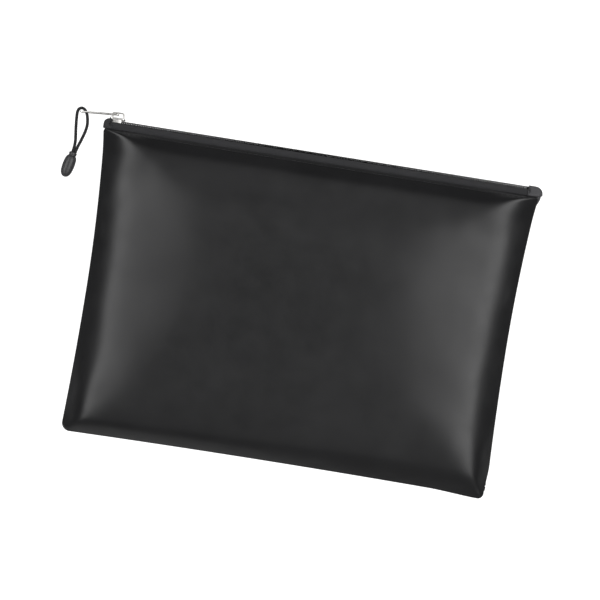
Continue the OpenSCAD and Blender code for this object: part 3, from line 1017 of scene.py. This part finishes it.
def make_folded_end(name, node, material, start_x, end_x, bend_r, corner, low_slant, gusset_out):
    """One end of the zip: the folded tape over it, and the gusset under it."""
    sign = 1 if end_x > start_x else -1
    sheets = [fold_sheet(start_x, end_x, bend_r, corner, low_slant), gusset_sheet(sign, gusset_out)]
    piece = new_object(name, *join_parts(sheets))
    solid = piece.modifiers.new("thickness", "SOLIDIFY")
    solid.thickness = FOLD_T
    solid.offset = 0
    finish_piece(piece, "end_fabric", node)
    piece.data.materials[0] = material
    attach(piece, "back_half")


def make_folded_ends():
    """The left one looks darker, so its weave is a darker copy of the end fabric: painted shade."""
    # painted shade: the left fold gets the end fabric darkened to under half its brightness
    dark = woven("end_fabric_painted_shade", (0.032, 0.032, 0.034), 0.6 * MM, 0.12 * MM)
    pale = MATERIAL_OF_SLOT["end_fabric"]
    make_folded_end("left_fold", "left_end_tab", dark, start_x=-163.6 * MM, end_x=-170.1 * MM,
                    bend_r=3.2 * MM, corner=4.6 * MM, low_slant=0.6 * MM, gusset_out=-1.6 * MM)
    make_folded_end("right_fold", "right_end_tab", pale, start_x=160.6 * MM, end_x=172.1 * MM,
                    bend_r=3.4 * MM, corner=6.2 * MM, low_slant=1.6 * MM, gusset_out=2.9 * MM)


make_folded_ends()

TACK_XS = (-164.9 * MM, 161.8 * MM)
TACK_TURNS, TACK_HALF, TACK_THREAD_R = 27, 0.55 * MM, 0.17 * MM
TACK_UP, TACK_LONG = 1.9 * MM, 4.4 * MM  # where it starts over the hem, and its length


def make_bar_tacks():
    """A short dense zigzag of thread that holds each folded end down."""
    thread_rise = 0.1 * MM
    z = SEAM_Z + FOLD_HALF + FOLD_T / 2 + thread_rise
    parts = []
    for x in TACK_XS:
        line = []
        for i in range(TACK_TURNS):
            across = TACK_HALF * (1 if i % 2 else -1)
            line.append((x + across, HEM_Y + TACK_UP + TACK_LONG * i / (TACK_TURNS - 1), z))
        parts.append(tube(line, TACK_THREAD_R, 6))
    tacks = finish_piece(new_object("bar_tack_thread", *join_parts(parts)), "thread", "end_bar_tacks")
    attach(tacks, "back_half")


make_bar_tacks()

# ------------ slider and tab


def stand_up(x, y):
    """Turns a stamping, drawn in X and Y, into the X and Z plane, and centres it on (x, y)."""
    return Matrix.Translation((x, y, SEAM_Z)) @ Matrix.Rotation(math.radians(90), 4, "X")


def make_slider():
    """Two plates, the flanges that hold the chain under the outer one, and the post that parts the coils."""
    nose, tail, long = 4.4 * MM, 3.7 * MM, 5.8 * MM
    inner_nose, inner_tail = 3.85 * MM, 3.4 * MM
    plate_t, edge = 1.5 * MM, 0.4 * MM
    outer_y = slider_high.y - plate_t / 2
    inner_y = slider_low.y + plate_t / 2
    parts = []
    for y, half_nose, half_tail in ((outer_y, nose, tail), (inner_y, inner_nose, inner_tail)):
        corners = [(-long, -half_nose), (long, -half_tail), (long, half_tail), (-long, half_nose)]
        outline = rounded_outline(corners, [2.2 * MM, 1.2 * MM, 1.2 * MM, 2.2 * MM])
        parts.append(placed(stamped([outline], plate_t, edge), stand_up(SLIDER_X, y)))
    flange_low, flange_high = CHAIN_Y + 0.3 * MM, outer_y
    end, inside, outside = 3.6 * MM, (3.5 * MM, 3.1 * MM), (4.35 * MM, 3.65 * MM)  # at the nose, at the tail
    for sign in (-1, 1):
        corners = [(-end, inside[0]), (end, inside[1]), (end, outside[1]), (-end, outside[0])]
        outline = rounded_outline([(x, sign * z) for x, z in corners], [0.2 * MM] * 4, 3)
        flange = stamped([outline], flange_high - flange_low, 0.12 * MM)
        parts.append(placed(flange, stand_up(SLIDER_X, (flange_low + flange_high) / 2)))
    post_long, post_wide = 0.55 * MM * 1.3, 0.55 * MM
    turn = np.linspace(0, 2 * math.pi, 25)[:-1]
    post = [(post_long * math.cos(a), post_wide * math.sin(a)) for a in turn]
    post_part = stamped([post], outer_y - inner_y, 0.1 * MM)
    parts.append(placed(post_part, stand_up(SLIDER_X - 3 * MM, (outer_y + inner_y) / 2)))
    slider = new_object("zip_slider", *join_parts(parts))
    weld(slider)
    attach(finish_piece(slider, "nickel", "slider_body"), "slider")


def make_crown():
    """The arch over the outer plate that the tab's pivot runs in."""
    half = (crown_high.x - crown_low.x) / 2
    high = crown_high.y - crown_low.y
    bar, foot = 1.1 * MM, 1.5 * MM
    low_r, high_r, window_r = 0.2 * MM, 1.7 * MM, 0.9 * MM
    outer = rounded_box((-half, -0.1 * MM), (half, high), [low_r, low_r, high_r, high_r])
    inner_low, inner_high = (foot - half, 0.15 * MM), (half - foot, high - bar)
    window = rounded_box(inner_low, inner_high, [low_r, low_r, window_r, window_r])
    arch_part = stamped([outer, window], crown_high.z - crown_low.z, 0.35 * MM)
    middle = Matrix.Translation((SLIDER_X, crown_low.y, SEAM_Z))
    crown = new_object("slider_bridge", *placed(arch_part, middle))
    weld(crown)
    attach(finish_piece(crown, "nickel", "slider_crown"), "slider")


def make_tab():
    """A stamped tab: a pivot bar, a window for the bridge, a slot for the cord and a round tip bar."""
    half, rail, edge = TAB_W / 2, 1.3 * MM, 0.28 * MM
    tip, slot_l, window_l = -TAB_REACH, 7 * MM, 7.5 * MM
    gap, slot_tip = half - rail, tip + 0.7 * MM
    tip_r, pivot_r = 1.5 * MM, 0.9 * MM
    outline = rounded_box((tip - 0.5 * MM, -half), (0.55 * MM, half), [tip_r, pivot_r, pivot_r, tip_r])
    window = rounded_box((-window_l, -gap), (-0.5 * MM, gap), [0.7 * MM] * 4)
    slot = rounded_box((slot_tip, -gap), (slot_tip + slot_l, gap), [0.7 * MM] * 4)
    plate = placed(stamped([outline, window, slot], TAB_T, edge), Matrix.Rotation(math.radians(90), 4, "X"))
    turn = Matrix.Translation(PIVOT) @ Matrix.Rotation(TAB_DIP, 4, "Z")
    tab = new_object("stamped_tab", *placed(plate, turn))
    weld(tab)
    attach(finish_piece(tab, "nickel", "pull_tab"), "tab")


make_slider()
make_crown()
make_tab()

# ------------ CAD nodes that stay

for name, node in frame["nodes"].items():
    if not node.hide_render:
        slot = next(row["material_slot"] for row in frame["record"]["subparts"] if row["node"] == name)
        node.data.materials.clear()
        node.data.materials.append(MATERIAL_OF_SLOT[slot])

# ------------ floor and light

FLOOR_HALF = 12


def make_floor():
    """A grey floor. It glows for the camera's own rays only, so that it looks white and lights nothing."""
    n = Nodes("floor")
    n.vary("Base Color", n.noise(3, 2), "Fac", 0.42, 0.44)
    n.set(Roughness=0.9, Specular_IOR_Level=0.1, Emission_Color=(1, 1, 1, 1))
    seen = n.add("ShaderNodeLightPath")
    glow = n.math("MULTIPLY", seen, "Is Camera Ray", 0.95)
    n.join(glow, "Value", n.shader, "Emission Strength")
    corners = [(x * FLOOR_HALF, y * FLOOR_HALF, 0) for x, y in ((-1, -1), (1, -1), (1, 1), (-1, 1))]
    floor = new_object("floor", corners, [(0, 1, 2, 3)], smooth=False)
    floor.data.materials.append(n.material)


# the sky's strength: of the ceiling overhead and at its sides, then what every direction and the near end get
ZENITH_LIGHT, SIDE_LIGHT, BASE_LIGHT, FOOT_LIGHT = 0.12, 4.5, 0.03, 0.19
RIGHT_LEAN = 0.035  # the bright part of the ceiling reaches further in from the right

# where each of them starts and is full, in the direction's own x, y or z
CEILING_Z, SIDES_X, FOOT_Y = (0.56, 0.74), (0.11, 0.68), (-0.35, -0.75)
ACROSS_Y, ACROSS_SHARE = (-0.3, 0.3), (0.74, 1.15)  # the ceiling is weaker at the near end


def make_studio():
    """A dark room with a wide soft ceiling: dim straight above, bright to the left and right, dark below."""
    world = bpy.data.worlds.new("studio")
    world.use_nodes = True
    tree = world.node_tree
    background = tree.nodes["Background"]
    background.inputs["Color"].default_value = (1, 1, 1, 1)
    place = tree.nodes.new("ShaderNodeTexCoord")
    split = tree.nodes.new("ShaderNodeSeparateXYZ")
    tree.links.new(place.outputs["Generated"], split.inputs[0])

    def ease(source, span, values):
        node = tree.nodes.new("ShaderNodeMapRange")
        node.interpolation_type = "SMOOTHSTEP"
        tree.links.new(source, node.inputs["Value"])
        for key, value in zip(("From Min", "From Max", "To Min", "To Max"), span + values):
            node.inputs[key].default_value = value
        return node.outputs["Result"]

    def combine(operation, first, second):
        node = tree.nodes.new("ShaderNodeMath")
        node.operation = operation
        tree.links.new(first, node.inputs[0])
        if isinstance(second, float):
            node.inputs[1].default_value = second
        else:
            tree.links.new(second, node.inputs[1])
        return node.outputs[0]

    sideways = combine("ABSOLUTE", combine("ADD", split.outputs["X"], RIGHT_LEAN), 0.0)
    ceiling = ease(split.outputs["Z"], CEILING_Z, (0.0, 1.0))
    sides = ease(sideways, SIDES_X, (ZENITH_LIGHT, SIDE_LIGHT))
    far_end = ease(split.outputs["Y"], ACROSS_Y, ACROSS_SHARE)
    light = combine("MULTIPLY", combine("MULTIPLY", ceiling, sides), far_end)
    near_end = ease(split.outputs["Y"], FOOT_Y, (BASE_LIGHT, FOOT_LIGHT))
    tree.links.new(combine("ADD", light, near_end), background.inputs["Strength"])
    bpy.context.scene.world = world


make_floor()
make_studio()
bpy.context.scene.view_settings.view_transform = "Standard"
